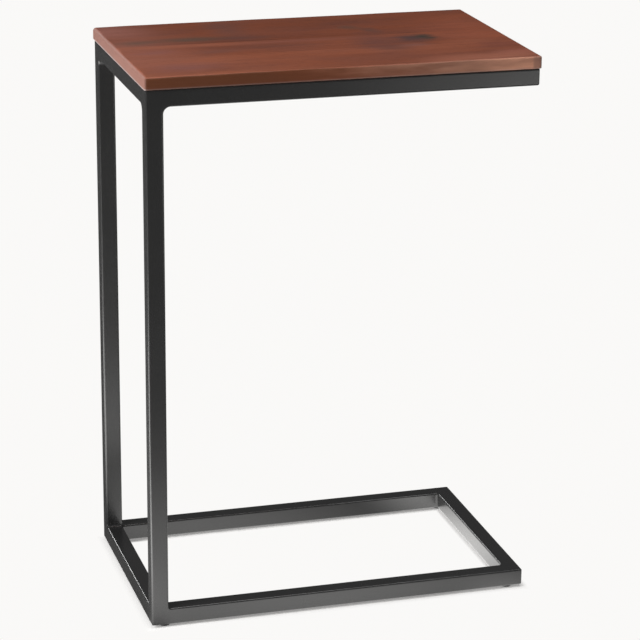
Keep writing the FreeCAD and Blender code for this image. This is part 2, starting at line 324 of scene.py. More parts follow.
def speckled_skin():
    """A fine skin: small bumps of one size, a slow cloud of shine, and sparse specks of dust."""
    tree, given, result = new_group(
        "speckled_skin",
        [("Vector", "Vector", None), ("Float", "Bumps per metre", 900.0), ("Float", "Shine", 0.4),
         ("Float", "Shine spread", 0.05), ("Color", "Colour", (0.03, 0.03, 0.03, 1.0)),
         ("Color", "Dust colour", (0.2, 0.2, 0.19, 1.0)), ("Float", "Dust", 0.1)],
        [("Color", "Colour"), ("Float", "Roughness"), ("Float", "Height")])
    place = given["Vector"]
    peel = noise(tree, place, given["Bumps per metre"], detail=1.0, roughness=0.4)
    cloud = noise(tree, place, 14.0, detail=3.0)
    grit = noise(tree, place, 2600.0, detail=0.0, seed=3.0)
    settle = noise(tree, place, 40.0, detail=2.0, seed=7.0)
    speck = times(tree, fit_range(tree, grit, 0.70, 0.78), fit_range(tree, settle, 0.20, 0.75))
    dust = times(tree, speck, given["Dust"])
    varied = shaded(tree, given["Colour"], fit_range(tree, cloud, 0.3, 0.7, 0.94, 1.06))
    drift = times(tree, fit_range(tree, cloud, 0.25, 0.75, -1.0, 1.0), given["Shine spread"])
    fill_inputs(tree, result, {"Colour": blend_colours(tree, dust, varied, given["Dust colour"]),
                               "Roughness": plus(tree, plus(tree, given["Shine"], drift), dust),
                               "Height": peel})
    return tree


SKIN = speckled_skin()


def powder_coat():
    """Satin black powder coat: a near black body under a clear skin that shows the room at a low angle."""
    material, tree, shader, place = new_material("black_powder_coat")
    skin = shader_node(tree, "Group", {"Vector": place, "Bumps per metre": 620.0, "Shine": 0.25,
                                       "Shine spread": 0.018, "Colour": COAT_BLACK, "Dust": 0.03},
                       node_tree=SKIN).outputs
    fill_inputs(tree, shader, {"Base Color": skin["Colour"], "Roughness": skin["Roughness"],
                               "Normal": raised(tree, skin["Height"], 0.012 * MM)})
    shader["Specular IOR Level"].default_value = 1.0
    return material


COAT = powder_coat()


for ring, low in (("base", base_low.z), ("top", ring_low.z)):
    for side in ("front", "right", "back", "left"):
        add_piece(f"{ring}_{side}_rail", [ring_rail(low, side)], COAT,
                  [f"{ring}_ring_{side}_rail"])

# ---------------------------------------------------------------- posts
# Two uprights of the same square tube stand on the base ring's left corners and carry the top ring.
# They are cut square and butted between the rings, flush with the outer faces.
for side in ("front", "back"):
    post_low, post_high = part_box("post_" + side)
    middle = (post_low + post_high) / 2
    stack = [np.column_stack([section + (middle.x, middle.y), np.full(len(section), level)])
             for section, level in ((OUTSIDE, post_low.z), (OUTSIDE, post_high.z), (BORE, post_high.z),
                                    (BORE, post_low.z))]
    add_piece(side + "_post", [skin_of(np.stack(stack), ring=True)], COAT,
              ["post_" + side])

# ---------------------------------------------------------------- welds, ground smooth
# The joints are MIG welded all round. The beads are ground flush on the outer faces and dressed to a hollow
# fillet in every inner corner: a large one under the top ring, where the C is pulled open, and small ones
# elsewhere.
TOP_FILLET = 8.0 * MM
BASE_FILLET = 3.2 * MM
RING_FILLET = 3.2 * MM
FILLET_STEPS = 20


def inner_half():
    """The inner half of a tube's section, from flat to flat: distance in from the outer face, and height."""
    angle = np.linspace(0, math.pi / 2, ARRIS_STEPS + 1)
    inset = np.append(TUBE - TUBE_ARRIS + TUBE_ARRIS * np.sin(angle), TUBE)
    height = np.append(TUBE_ARRIS * (1 - np.cos(angle)), TUBE_ARRIS + FLAT_ROW)
    return np.concatenate([inset, inset[::-1]]), np.concatenate([height, TUBE - height[::-1]])


def fillet(radius):
    """The dressed weld in the corner between two tubes that run along +a and +b, as points a, b and c.

    At every height c it fills the space between the tubes' own faces, which meet in a sharp corner, and a
    circle that touches both. The circle's radius grows over the arrises, so the fillet's edges are rounded
    like the tubes'.
    """
    inset, height = inner_half()
    reach = TUBE + radius
    circle = (reach - inset)[:, None]
    angle = np.linspace(0, math.pi / 2, FILLET_STEPS + 1)[None, :]
    along = np.concatenate([inset[:, None], reach - circle * np.sin(angle)], axis=1)
    across = np.concatenate([inset[:, None], reach - circle * np.cos(angle)], axis=1)
    return np.stack([along, across, np.repeat(height[:, None], FILLET_STEPS + 2, axis=1)], axis=-1)


def flush_fill():
    """The weld that fills the rounded arris between a post's end and a ring, flush with both outer faces.

    Its section is the space between the outer face, the post's end and the rail's rounded arris. It runs
    along the front face, round the ground corner and along the left face.
    """
    angle = np.linspace(0, math.pi / 2, ARRIS_STEPS + 1)
    inset = np.append(0.0, TUBE_ARRIS * (1 - np.cos(angle)))
    height = np.append(0.0, TUBE_ARRIS * (1 - np.sin(angle)))
    radius, run_out = corner_radius(inset), np.full(len(inset), TUBE - TUBE_ARRIS)
    columns = [np.stack([run_out, inset, height], axis=-1)]
    for turn in np.linspace(0, math.pi / 2, 2 * CORNER_STEPS + 1):
        along = inset + radius - radius * math.sin(turn)
        across = inset + radius - radius * math.cos(turn)
        columns.append(np.stack([along, across, height], axis=-1))
    columns.append(np.stack([inset, run_out, height], axis=-1))
    return np.stack(columns)


LEFT, FRONT = -HALF_LENGTH, -HALF_DEPTH
mid_height = (ring_low.z + base_high.z) / 2


def post_weld(radius):
    """The weld of the front post under the top ring: the flush fill and two dressed fillets."""
    a, b, c = np.moveaxis(fillet(radius), -1, 0)
    under_front = skin_of(np.stack([LEFT + a, FRONT + c, ring_high.z - b], axis=-1))
    under_side = skin_of(np.stack([LEFT + c, FRONT + b, ring_high.z - a], axis=-1))
    along, across, up = np.moveaxis(flush_fill(), -1, 0)
    fill = skin_of(np.stack([LEFT + along, FRONT + across, ring_low.z + up], axis=-1))
    return [fill, under_front, under_side]


def ring_weld(low):
    """The upright fillet in the front left inner corner of a ring."""
    a, b, c = np.moveaxis(fillet(RING_FILLET), -1, 0)
    return skin_of(np.stack([LEFT + a, FRONT + b, low + c], axis=-1))


def front_and_back(shells):
    """The front shells and their mirror images at the back."""
    return shells + [mirrored(shell, 1) for shell in shells]


top_welds = post_weld(TOP_FILLET)
base_welds = [mirrored(shell, 2, mid_height) for shell in post_weld(BASE_FILLET)]
add_piece("post_fillets_top", front_and_back(top_welds), COAT, ["post_welds_top"])
add_piece("post_fillets_base", front_and_back(base_welds), COAT, ["post_welds_base"])
for ring, low in (("base", base_low.z), ("top", ring_low.z)):
    pair = [ring_weld(low), mirrored(ring_weld(low), 0)]
    add_piece("ring_fillets_" + ring, front_and_back(pair), COAT,
              [ring + "_ring_welds"])

# ---------------------------------------------------------------- tabs that hold the top
# Four flat steel tabs are welded to the inner faces of the top ring's long rails, flush with the ring's
# top. Each is sheared from 3 mm strip, with two rounded corners and a slot across the grain, and has a
# short weld bead below it.
TAB_EASE = 0.35 * MM
TAB_CORNERS = (0.4 * MM, 0.4 * MM, 4.0 * MM, 4.0 * MM)  # the first two are against the rail
SLOT_WIDTH = 5.0 * MM
SLOT_LENGTH = 9.0 * MM
SLOT_FROM_RAIL = 12.0 * MM
SLOT_FLAT = 0.05 * MM
BEAD_LEG = 3.0 * MM
BEAD_RIPPLE = 1.9 * MM  # from one ripple of the bead to the next
BEAD_ROWS = 90
rail_face = HALF_DEPTH - TUBE


def eased_edge(width, steps=4):
    """Insets and heights up a quarter round, from a flat underside to an upright wall."""
    angle = np.linspace(0, math.pi / 2, steps + 1)
    return width * (1 - np.sin(angle)), width * (1 - np.cos(angle))


def slotted_tab(low, high):
    """The front left tab: up its outer wall, over the top, and down the wall of its slot."""
    inset, rise = eased_edge(TAB_EASE)
    middle = ((low.x + high.x) / 2, -rail_face + SLOT_FROM_RAIL)
    slot_low = (middle[0] - SLOT_WIDTH / 2, middle[1] - SLOT_LENGTH / 2)
    slot_high = (middle[0] + SLOT_WIDTH / 2, middle[1] + SLOT_LENGTH / 2)
    levels = list(zip(inset, low.z + rise)) + list(zip(inset[::-1], high.z - rise[::-1]))
    stack = []
    for drawn_in, level in [(TAB_EASE * 3, low.z)] + levels + [(TAB_EASE * 3, high.z)]:
        outline = rounded_outline(low.xy, high.xy, TAB_CORNERS, drawn_in)
        stack.append(np.column_stack([outline, np.full(len(outline), level)]))
    for drawn_in, level in [(TAB_EASE * 3, high.z)] + levels[::-1] + [(TAB_EASE * 3, low.z)]:
        outline = rounded_outline(slot_low, slot_high, [SLOT_WIDTH * 0.499] * 4, -drawn_in,
                                  margin=SLOT_FLAT)
        stack.append(np.column_stack([outline, np.full(len(outline), level)]))
    return skin_of(np.stack(stack), ring=True)


def tab_bead(low, high):
    """The bead under the front left tab, from the rail's face to the tab's underside.

    Its section is a quarter of a rounded triangle. The leg swells and shrinks with each ripple, and fades
    at the ends.
    """
    along = np.linspace(0, 1, BEAD_ROWS)
    length = high.x - low.x
    fade = np.sqrt(np.clip(1 - np.abs(2 * along - 1) ** 8, 0.03, 1))
    ripple = 0.95 + 0.05 * np.abs(np.sin(math.pi * along * length / BEAD_RIPPLE))
    unsteady = 0.03 * np.sin(23 * along + 1)
    leg = (BEAD_LEG * fade * np.minimum(ripple + unsteady, 1.0))[:, None]
    angle = np.linspace(0, math.pi / 2, 11)[None, :]
    bulge = 0.62 + 0.16 * np.sin(2 * angle)
    first, last = angle < 0.01, angle > math.pi / 2 - 0.01
    out = leg * np.cos(angle) * np.where(first, 1, bulge + (1 - bulge) * np.cos(angle) ** 4)
    down = leg * np.sin(angle) * np.where(last, 1, bulge + (1 - bulge) * np.sin(angle) ** 4)
    y = np.concatenate([np.zeros_like(leg), out], axis=1) - rail_face
    z = high.z - np.concatenate([np.zeros_like(leg), down], axis=1)
    x = np.repeat((low.x + along * length)[:, None], y.shape[1], axis=1)
    return skin_of(np.stack([x, y, z], axis=-1))


tab_low, tab_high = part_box("top_tab_front_left")
tab = slotted_tab(tab_low, tab_high)
bead_low = Vector((tab_low.x + TAB_CORNERS[2], -rail_face, tab_low.z - BEAD_LEG))
bead_high = Vector((tab_high.x - TAB_CORNERS[2], -rail_face + BEAD_LEG, tab_low.z))
bead = tab_bead(bead_low, bead_high)
tab_pair = (("left", tab), ("right", mirrored(tab, 0)))
for side, is_back in (("front", False), ("back", True)):
    for end, shell in tab_pair:
        add_piece(f"tab_{side}_{end}", [mirrored(shell, 1) if is_back else shell], COAT,
                  [f"top_tab_{side}_{end}"])
add_piece("tab_beads", front_and_back([bead, mirrored(bead, 0)]), COAT,
          ["top_tab_welds"], crease=60.0)

# ---------------------------------------------------------------- wood top
# The top is glued up from three boards of a reddish hardwood, edge to edge with the grain along the table.
# It is planed and sanded as one slab, its outer edges are eased by hand, widest at the left end, and it is
# stained.
WOOD_ARRIS = 1.8 * MM  # how wide the upper edges are eased
END_ARRIS = 3.6 * MM  # and at the left end, where the sander lingered
LOWER_ARRIS = 0.6 * MM
WOOD_CORNER = 2.6 * MM
EASE_STEPS = 6
RIM_STEP = 6.0 * MM
FLAT_BAND = 1.5 * MM  # a row on the flat, so that the flat shades flat
WAVES_ALONG = ((31.0 * MM, 0.20, 0.0), (12.7 * MM, 0.14, 1.3))  # of the easing: length, share and start
WAVES_ACROSS = ((19.5 * MM, 0.22, 0.6), (8.3 * MM, 0.16, 2.0))
LEFT_END = (-165.0 * MM, 50.0 * MM)  # where the wider easing starts, and over how much
boards_low, boards_high = {}, {}
for board in ("front", "middle", "back"):
    boards_low[board], boards_high[board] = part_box("top_board_" + board)
GLUE_LINES = (boards_high["front"].y, boards_high["middle"].y)
slab_side = boards_high["back"].y


def smooth_steps(value):
    """0 below 0, 1 above 1, and a smooth rise between them."""
    value = np.clip(value, 0, 1)
    return value * value * (3 - 2 * value)


def waves(spot, parts):
    """1 plus a few sine waves along a line."""
    return 1 + sum(share * np.sin(spot / length + start) for length, share, start in parts)


def arris_width(x, y):
    """How wide the upper edge is sanded at a spot in plan: in slow waves, and wider at the left end."""
    at_left = smooth_steps((LEFT_END[0] - x) / LEFT_END[1])
    return WOOD_ARRIS * waves(x, WAVES_ALONG) * (1 - at_left) + END_ARRIS * waves(y, WAVES_ACROSS) * at_left


def board_rim(low, high, open_low, open_high):
    """A board's rim in plan, anticlockwise: its points, the way each is drawn in, and its round corners.

    Both ends are open edges, and each long edge is open or glued. An open edge has a point every few
    millimetres. A corner of two open edges is a quarter circle, and a corner at a glued edge is one point.
    """
    corners = np.array([(low.x, low.y), (high.x, low.y), (high.x, high.y), (low.x, high.y)])
    ways = np.array([(1.0, 0.0), (0.0, 1.0), (-1.0, 0.0), (0.0, -1.0)])
    is_open = (open_low, True, open_high, True)
    turn = np.linspace(0, math.pi / 2, EASE_STEPS + 1)[:, None]
    spots, drawn, swung = [], [], []
    for n, (corner, way, before) in enumerate(zip(corners, ways, np.roll(ways, 1, axis=0))):
        rounded = is_open[n] and is_open[n - 1]
        count = len(turn) if rounded else 1
        spots.append(np.repeat(corner[None], count, axis=0))
        inward = way * is_open[n - 1] - before * is_open[n]
        drawn.append(np.repeat(inward[None], count, axis=0))
        swung.append(way * (1 - np.cos(turn)) - before * (1 - np.sin(turn)) if rounded else np.zeros((1, 2)))
        if is_open[n]:
            length = abs((corners[(n + 1) % 4] - corner) @ way)
            between = np.linspace(0, length, round(length / RIM_STEP) + 1)[1:-1, None]
            spots.append(corner + way * between)
            drawn.append(np.repeat([[-way[1], way[0]]], len(between), axis=0))
            swung.append(np.zeros((len(between), 2)))
    return np.concatenate(spots), np.concatenate(drawn), np.concatenate(swung)


def board_skin(low, high, open_low, open_high):
    """One board as a stack of rims, from its underside up over the eased lower and upper edges.

    A row stands in from the rim by a fixed amount plus a share of the arris width at each point, and its
    round corners shrink by as much.
    """
    spots, drawn, swung = board_rim(low, high, open_low, open_high)
    width = arris_width(spots[:, 0], spots[:, 1])
    angle = np.linspace(0, math.pi / 2, EASE_STEPS + 1)
    lower = [(LOWER_ARRIS * (1 - np.sin(a)), 0.0, low.z + LOWER_ARRIS * (1 - np.cos(a))) for a in angle]
    upper = [(0.0, 1 - np.cos(a), high.z - width * (1 - np.sin(a))) for a in angle]
    rows = [(LOWER_ARRIS + FLAT_BAND, 0.0, low.z)] + lower + [(0.0, 0.0, low.z + LOWER_ARRIS + FLAT_BAND)]
    rows += [(0.0, 0.0, high.z - width - FLAT_BAND)] + upper + [(FLAT_BAND, 1.0, high.z)]
    stack = []
    for fixed, share, level in rows:
        inset = fixed + share * width
        radius = np.maximum(WOOD_CORNER - inset, 0.3 * MM)
        outline = spots + inset[:, None] * drawn + radius[:, None] * swung
        stack.append(np.column_stack([outline, np.zeros(len(outline)) + level]))
    return skin_of(np.stack(stack), hub=True)


def grain(tree, place, stretch, detail, roughness, seed):
    """Noise with its own number of bumps to the metre along X, Y and Z."""
    return noise(tree, vector_math(tree, "MULTIPLY", place, stretch), 1.0, detail, roughness, seed)


def timber():
    """Sawn hardwood, in metres, with the grain along X.

    The distance from the log's pith line, bent by slow noise, gives the growth rings. Noise that is
    stretched along the grain and laid out over that distance gives broad bands and fine lines; a much finer
    one gives fibres, and the peaks of another give open pores. A swelling of the distance lets the lines
    part round a knot.
    """
    tree, given, result = new_group(
        "timber",
        [("Vector", "Vector", None), ("Float", "Board", 0.0), ("Vector", "Pith", (0.0, 0.0, 0.5)),
         ("Float", "Swelling", 0.0), ("Float", "Wander", 0.012), ("Float", "Contrast", 1.0),
         ("Color", "Pale", (0.25, 0.10, 0.07, 1.0)), ("Color", "Deep", (0.13, 0.045, 0.03, 1.0)),
         ("Color", "Warm", (0.262, 0.057, 0.015, 1.0)), ("Color", "Cool", (0.165, 0.048, 0.030, 1.0))],
        [("Color", "Colour"), ("Float", "Roughness"), ("Float", "Height")])
    place, board = given["Vector"], given["Board"]
    slow = grain(tree, place, (3.2, 17.0, 17.0), 3.0, 0.5, board)
    quick = grain(tree, place, (13.0, 75.0, 75.0), 3.0, 0.55, board)
    bend = times(tree, minus(tree, slow, 0.5), given["Wander"])
    shake = times(tree, minus(tree, quick, 0.5), QUICK_WANDER)
    from_pith = vector_math(tree, "SUBTRACT", place, given["Pith"])
    distance = vector_math(tree, "LENGTH", vector_math(tree, "MULTIPLY", from_pith, (0.0, 1.0, 1.0)))
    for part in (bend, shake, given["Swelling"]):
        distance = plus(tree, distance, part)
    along = shader_node(tree, "SeparateXYZ", {0: place}).outputs["X"]
    rings = shader_node(tree, "CombineXYZ", {"X": times(tree, along, 2.6), "Y": distance}).outputs[0]
    bands = grain(tree, rings, (1.0, 70.0, 1.0), 3.0, 0.6, board)
    lines = grain(tree, rings, (2.4, 520.0, 1.0), 2.0, 0.6, board)
    growth = math_node(tree, "FRACT", math_node(tree, "DIVIDE", distance, RING_WIDTH))
    late = times(tree, fit_range(tree, growth, 0.35, 0.92), fit_range(tree, growth, 1.0, 0.92))
    late = times(tree, late, fit_range(tree, bands, 0.35, 0.65, 0.2, 1.0))
    fibre = grain(tree, place, (26.0, 1500.0, 1500.0), 2.0, 0.6, board)
    pores = grain(tree, place, (110.0, 2300.0, 2300.0), 0.0, 0.5, board)
    pore = times(tree, fit_range(tree, pores, 0.64, 0.72), fit_range(tree, lines, 0.35, 0.6, 0.25, 1.0))
    cloud = grain(tree, place, (9.0, 24.0, 24.0), 3.0, 0.55, board)
    figure = plus(tree, fit_range(tree, bands, 0.30, 0.72, -0.5, 0.5, smooth=False),
                  fit_range(tree, lines, 0.3, 0.7, -0.24, 0.24, smooth=False))
    figure = times(tree, plus(tree, figure, times(tree, late, 0.20)), given["Contrast"])
    figure = math_node(tree, "ADD", figure, 0.42, clamp=True)
    tint = blend_colours(tree, fit_range(tree, cloud, 0.36, 0.64), given["Warm"], given["Cool"])
    body = blend_colours(tree, 0.30, blend_colours(tree, figure, given["Pale"], given["Deep"]), tint)
    depth = times(tree, fit_range(tree, fibre, 0.25, 0.75, 0.90, 1.10, smooth=False),
                  fit_range(tree, pore, 0.0, 1.0, 1.0, 0.62, smooth=False))
    shine = fit_range(tree, fibre, 0.2, 0.8, 0.36, 0.44, smooth=False)
    fill_inputs(tree, result, {"Colour": shaded(tree, body, depth),
                               "Roughness": plus(tree, shine, times(tree, pore, 0.15)),
                               "Height": minus(tree, times(tree, fibre, 0.25), pore)})
    return tree


def soft_spot(tree, place, middle, reach):
    """1 at a spot in plan, falling smoothly to 0 at its half length and half width, at any height."""
    away = vector_math(tree, "SUBTRACT", place, (*middle, 0.0))
    scaled = vector_math(tree, "MULTIPLY", away, (1 / reach[0], 1 / reach[1], 0.0))
    return fit_range(tree, vector_math(tree, "LENGTH", scaled), 0.0, 1.0, 1.0, 0.0)


RING_WIDTH = 4.2 * MM
QUICK_WANDER = 4.5 * MM
TIMBER = timber()
# Streaks and stains of this top, with some painted light and shade among them, as (middle x, y, half length,
# half width, share, colour), in millimetres.
STREAKS_AND_LIGHT = [
    (-219.0, 10.0, 125.0, 200.0, 0.60, (0.335, 0.120, 0.082)),  # the left end is paler: painted light from the left
    (-206.0, 100.0, 62.0, 64.0, 0.62, (0.325, 0.122, 0.096)),
    (-188.0, 36.0, 34.0, 17.0, 0.72, (0.115, 0.066, 0.046)),
    (-128.0, 40.0, 62.0, 21.0, 0.85, (0.092, 0.055, 0.037)),  # a grey green band
    (-66.0, 34.0, 66.0, 19.0, 0.50, (0.110, 0.040, 0.030)),
    (-75.0, 88.0, 36.0, 80.0, 0.50, (0.108, 0.048, 0.040)),  # a darker patch: painted shade of the cross grain's shimmer
    (-150.0, 9.5, 150.0, 13.0, 0.75, (0.320, 0.098, 0.052)),  # a light streak beside the glue line
    (-10.0, 7.0, 120.0, 10.0, 0.60, (0.255, 0.076, 0.048)),
    (-52.0, -15.0, 84.0, 11.0, 0.62, (0.120, 0.034, 0.019)),
    (-112.0, -25.0, 40.0, 14.0, 0.50, (0.150, 0.058, 0.045)),
    (-182.0, -16.0, 42.0, 18.0, 0.55, (0.225, 0.082, 0.074)),
    (-166.0, -94.0, 66.0, 32.0, 0.55, (0.210, 0.080, 0.074)),
    (60.0, 62.0, 19.0, 20.0, 0.62, (0.080, 0.048, 0.034)),
    (77.0, 42.0, 17.0, 26.0, 0.62, (0.076, 0.042, 0.036)),
    (68.0, -18.0, 40.0, 74.0, 0.55, (0.110, 0.040, 0.035)),
    (80.0, -54.0, 36.0, 22.0, 0.50, (0.098, 0.038, 0.031)),
    (110.0, -11.0, 34.0, 34.0, 0.82, (0.084, 0.035, 0.033)),  # the knot's halo
    (112.0, -9.0, 26.0, 16.0, 0.80, (0.050, 0.032, 0.034)),
    (106.0, -44.0, 30.0, 13.0, 0.60, (0.225, 0.088, 0.068)),
    (190.0, 30.0, 90.0, 130.0, 0.65, (0.342, 0.085, 0.036)),  # the right end is redder
    (170.0, -38.0, 48.0, 12.0, 0.60, (0.320, 0.100, 0.052)),
    (196.0, -62.0, 32.0, 28.0, 0.50, (0.160, 0.040, 0.027)),
    (202.0, -103.0, 46.0, 24.0, 0.70, (0.370, 0.120, 0.078)),
    (165.0, -124.0, 110.0, 30.0, 0.72, (0.400, 0.140, 0.086)),
]
KNOT = (127.0 * MM, -6.0 * MM)
KNOT_REACH = (50.0 * MM, 40.0 * MM)
KNOT_PUSH = 17.0 * MM  # how far the knot pushes the growth rings aside
HEART_REACH = (16.0 * MM, 24.0 * MM)
KNOT_HEART = (0.034, 0.030, 0.021)
SAPWOOD = (0.405, 0.195, 0.128)
EDGE_BROWN_SHADED = (0.120, 0.037, 0.013)
SAP_DEPTH = (4.0 * MM, 2.2 * MM)  # sapwood fades out over this depth at the front
SAP_TILT = 0.16  # and lies deeper at the underside
SAWN_DEPTH = (1.2 * MM, 0.4 * MM)
EDGE_END = (0.240, 0.120, 0.092)  # the last 10 mm of the front edge at the right
# The ends' colour, paler than the top's: end grain with painted light from the left.
END_GRAIN_LIT = (0.248, 0.140, 0.117)
LOWER_EDGE_HIGHLIGHT = (0.430, 0.350, 0.340)  # a painted highlight along the lower arris
GLUE_BROWN = (0.05, 0.02, 0.014)
GLUE_HALF = 0.22 * MM
STRAY = (50.0 * MM, 9.0 * MM, 0.0)  # how ragged the streaks' outlines are


def front_edge(tree, colour, split, ragged, drift, low):
    """The front board's edge: brown at the left, where stain soaked in and painted shade darkens it, and
    pale sapwood at the right, made brighter towards the right end as painted light.

    The depth from the outer face, larger higher up, and the place along the edge set the share of each.
    """
    depth = plus(tree, minus(tree, split["Y"], low.y), times(tree, minus(tree, split["Z"], low.z), SAP_TILT))
    outer = fit_range(tree, plus(tree, depth, times(tree, drift, 4.0 * MM)), *SAP_DEPTH)
    reach = plus(tree, split["X"], times(tree, drift, 140.0 * MM))
    sawn = fit_range(tree, split["Y"], low.y + SAWN_DEPTH[0], low.y + SAWN_DEPTH[1])
    # Brown at the left: stain, darkened further as painted shade.
    brown_and_shade = times(tree, sawn, fit_range(tree, reach, 0.14, -0.12, 0.0, 0.92))
    outer = times(tree, outer, fit_range(tree, reach, -0.06, 0.14, 0.0, 0.9))
    # The sapwood grows brighter towards the right end: painted light.
    sap_and_light = times(tree, fit_range(tree, ragged, 0.3, 0.7, 0.72, 1.2),
                fit_range(tree, split["X"], 0.130, 0.190, 0.82, 1.45))
    last = times(tree, outer, fit_range(tree, split["X"], 0.2075, 0.2105, 0.0, 0.7))
    colour = blend_colours(tree, brown_and_shade, colour, EDGE_BROWN_SHADED)
    colour = blend_colours(tree, outer, colour, shaded(tree, SAPWOOD, sap_and_light))
    return blend_colours(tree, last, colour, EDGE_END)


def stained_wood(board, number, pith, pale, deep):
    """One board of the top: its own timber, then this top's streaks, knot, sapwood and end grain, with the
    end grain made paler as painted light and a painted highlight along the lower arris.
    """
    material, tree, shader, place = new_material(board + "_wood")
    split = shader_node(tree, "SeparateXYZ", {0: place}).outputs
    low, high = boards_low[board], boards_high[board]
    knot = math_node(tree, "POWER", soft_spot(tree, place, KNOT, KNOT_REACH), 2.0)
    wood = shader_node(tree, "Group", {"Vector": place, "Board": number, "Pith": pith, "Pale": (*pale, 1),
                                       "Deep": (*deep, 1), "Swelling": times(tree, knot, KNOT_PUSH)},
                       node_tree=TIMBER).outputs
    colour = wood["Colour"]
    ragged = grain(tree, place, (16.0, 110.0, 110.0), 4.0, 0.6, 2.0)
    drift = minus(tree, ragged, 0.5)
    strayed = vector_math(tree, "ADD", place, vector_math(tree, "MULTIPLY", drift, STRAY))
    # Each streak's colour is blended in: stains, and painted light and shade at the left end and the cross
    # grain.
    for x, y, half_x, half_y, share, tone in STREAKS_AND_LIGHT:
        if low.y < (y + half_y) * MM and (y - half_y) * MM < high.y:
            spot = soft_spot(tree, strayed, (x * MM, y * MM), (half_x * MM, half_y * MM))
            streak_share = times(tree, spot, fit_range(tree, ragged, 0.25, 0.6, 0.55 * share, share))
            colour = blend_colours(tree, streak_share, colour, tone)
    heart = soft_spot(tree, strayed, KNOT, HEART_REACH)
    colour = blend_colours(tree, times(tree, heart, 0.92), colour, KNOT_HEART)
    for glue in GLUE_LINES:
        gap = math_node(tree, "ABSOLUTE", minus(tree, split["Y"], glue))
        colour = blend_colours(tree, fit_range(tree, gap, GLUE_HALF, 0.0, 0.0, 0.5), colour, GLUE_BROWN)
    if board == "front":
        colour = front_edge(tree, colour, split, ragged, drift, low)
    aside = math_node(tree, "ABSOLUTE", split["X"])
    cut = fit_range(tree, aside, high.x - 3.4 * MM, high.x - 0.3 * MM)
    # The ends take the pale end grain colour: painted light.
    colour = blend_colours(tree, times(tree, cut, 0.75), colour, END_GRAIN_LIT)
    # A painted highlight: a pale line along the lower arris, stronger at the ends.
    arris = fit_range(tree, split["Z"], low.z + 1.9 * MM, low.z + 1.0 * MM)
    rubs_and_highlight = times(tree, arris, fit_range(tree, cut, 0.0, 1.0, 0.20, 0.85, smooth=False))
    ends = fit_range(tree, aside, high.x - 4.0 * MM, high.x - 2.0 * MM)
    beside = math_node(tree, "ABSOLUTE", split["Y"])
    sides = fit_range(tree, beside, slab_side - 2.2 * MM, slab_side - 1.0 * MM)
    sanded = math_node(tree, "MAXIMUM", ends, sides)
    fill_inputs(tree, shader, {"Base Color": blend_colours(tree, rubs_and_highlight, colour, LOWER_EDGE_HIGHLIGHT),
                               "Roughness": plus(tree, wood["Roughness"], times(tree, sanded, 0.22)),
                               "Coat Weight": fit_range(tree, sanded, 0.0, 1.0, 0.08, 0.0, smooth=False),
                               "Normal": raised(tree, wood["Height"], 0.03 * MM)})
    shader["Coat Roughness"].default_value = 0.3
    return material


PITHS = {"front": (0.0, -0.10, 0.50), "middle": (0.0, 0.05, 0.70), "back": (0.0, 0.09, 0.46)}
PALES = {"front": (0.338, 0.098, 0.046), "middle": (0.292, 0.078, 0.034), "back": (0.202, 0.048, 0.017)}
DEEPS = {"front": (0.190, 0.047, 0.019), "middle": (0.145, 0.034, 0.012), "back": (0.095, 0.020, 0.006)}
for number, board in enumerate(boards_low):
    shell = board_skin(boards_low[board], boards_high[board], board == "front", board == "back")
    material = stained_wood(board, 11.0 * number + 3.0, PITHS[board], PALES[board], DEEPS[board])
    add_piece(board + "_board", [shell], material, ["top_board_" + board])

# ---------------------------------------------------------------- screws and washers of the top
# Four zinc plated pan head wood screws with a cross recess go up through stamped washers and the tabs'
# slots. Their threads are rolled, so the thread stands proud of a thinner core.
SCREW_HEAD = 4.0 * MM
SCREW_HEAD_HEIGHT = 2.6 * MM
SCREW_THREAD = 2.0 * MM
SCREW_CORE = 1.35 * MM
SCREW_PITCH = 1.6 * MM
RECESS_DEPTH = 1.3 * MM
RECESS_ARM = 2.0 * MM
RECESS_WIDTH = 0.9 * MM
HEAD_ARRIS = 0.25 * MM
HEAD_CROWN = 0.62  # the crown's share of the head's height
POINT_LENGTH = 3.2 * MM
WASHER_RADIUS = 5.0 * MM
WASHER_BORE = 2.15 * MM
ROUND = 48  # points round a turned piece
THREAD_ROWS = 150
AROUND = np.linspace(0, 2 * math.pi, ROUND, endpoint=False)[None, :]
ZINC_GREY = (0.60, 0.60, 0.59, 1.0)
ZINC_DUST = (0.16, 0.15, 0.13, 1.0)


def turned_skin(radius, height, about, ring=False):
    """A surface of revolution from an outline's radii and heights, or from grids with a column per angle."""
    radius, height = np.asarray(radius, float), np.asarray(height, float)
    if radius.ndim == 1:
        radius, height = radius[:, None], height[:, None]
    x = about.x + radius * np.cos(AROUND)
    y = about.y + radius * np.sin(AROUND)
    return skin_of(np.stack([x, y, height + 0 * AROUND], axis=-1), ring=ring, hub=not ring)


